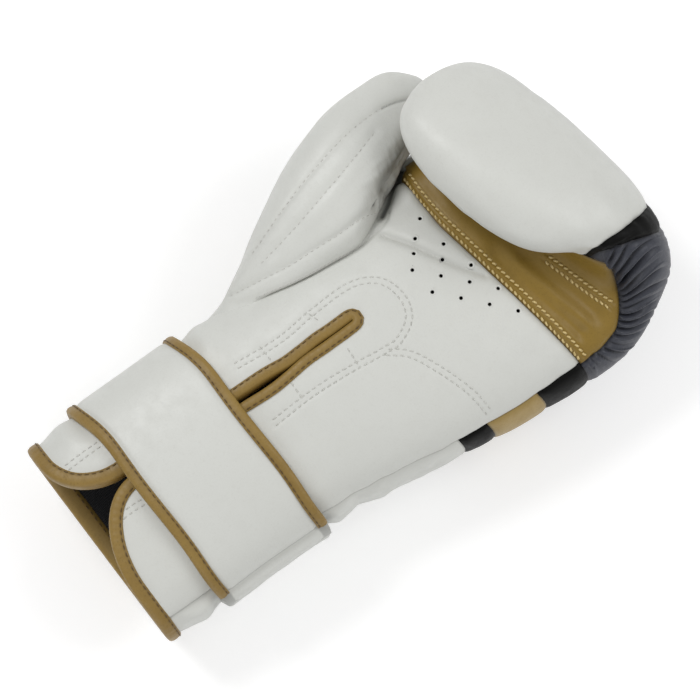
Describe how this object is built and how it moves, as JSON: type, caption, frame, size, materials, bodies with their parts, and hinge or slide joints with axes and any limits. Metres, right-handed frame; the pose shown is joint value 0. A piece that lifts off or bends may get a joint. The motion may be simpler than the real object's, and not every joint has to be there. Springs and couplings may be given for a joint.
{
  "type": "boxing glove",
  "caption": "Padded leather boxing glove for the left hand with a curled fist, an attached thumb, a palm slit with bound edges and a wide hook-and-loop wrist strap.",
  "frame": {"origin": "centre of the bounding box at the level that the back of the glove lies on", "axes": "+Z is the palm side, +Y runs from the cuff mouth to the knuckles, +X is the little-finger side"},
  "size_m": [0.176, 0.3032, 0.1242],
  "materials": {
    "white_leather": "smooth, low sheen",
    "gold_leather": "smooth, satin",
    "black_leather": "smooth, satin",
    "grey_leather": "smooth, pleated, satin",
    "gold_binding": "folded tape, stitched",
    "foam": "closed-cell foam",
    "lining": "knitted mesh",
    "loop_pile": "looped pile",
    "hook_tape": "woven tape with hooks"
  },
  "bodies": {
    "hand": {"palm_cover": "white_leather", "back_cover": "white_leather", "back_stripe_lower": "black_leather", "back_stripe_gold": "gold_leather", "back_stripe_upper": "black_leather", "palm_pad": "foam", "back_pad": "foam", "hand_lining": "lining", "palm_binding": "gold_binding", "back_binding": "gold_binding", "loop_patch": "loop_pile", "strap_root": "white_leather"},
    "fist": {"roll_cover": "white_leather", "knuckle_cover": "white_leather", "fist_band": "black_leather", "knuckle_panel": "grey_leather", "grip_panel": "gold_leather", "knuckle_pad": "foam", "front_pad": "foam", "roll_pad": "foam", "finger_lining": "lining", "grip_bar": "foam"},
    "thumb": {"thumb_outer_panel": "white_leather", "thumb_inner_panel": "white_leather", "thumb_outer_pad": "foam", "thumb_inner_pad": "foam", "thumb_lining": "lining"},
    "strap_span": {"strap_cover": "white_leather", "strap_core": "foam", "strap_binding_front": "gold_binding", "strap_binding_rear": "gold_binding"},
    "strap_tail": {"strap_tail": "white_leather", "hook_patch": "hook_tape", "tail_binding_front": "gold_binding", "tail_binding_rear": "gold_binding"}
  },
  "joints": [
    {"name": "fist_open", "type": "hinge", "parent": "hand", "child": "fist", "pos_m": [0.01272, 0.06915, -0.00083], "axis": [-0.9877, -0.1564, 0], "range_deg": [0, 8], "stiffness_Nm_per_rad": 3, "springref_deg": -5.73},
    {"name": "thumb_swing", "type": "hinge", "parent": "hand", "child": "thumb", "pos_m": [-0.04391, -0.04393, 0.04937], "axis": [0, 0, 1], "range_deg": [0, 8], "stiffness_Nm_per_rad": 0.6, "springref_deg": -3.44},
    {"name": "strap_lift", "type": "hinge", "parent": "hand", "child": "strap_span", "pos_m": [0.06954, -0.09068, 0.05137], "axis": [0.0408, 0.9992, 0], "range_deg": [0, 64]},
    {"name": "strap_peel", "type": "hinge", "parent": "strap_span", "child": "strap_tail", "pos_m": [-0.05089, -0.09068, 0.04337], "axis": [0.0342, 0.9994, 0], "range_deg": [0, 160]}
  ],
  "couplings": [
    {"joint": "strap_lift", "follows": "strap_peel", "ratio": 0.4}
  ]
}
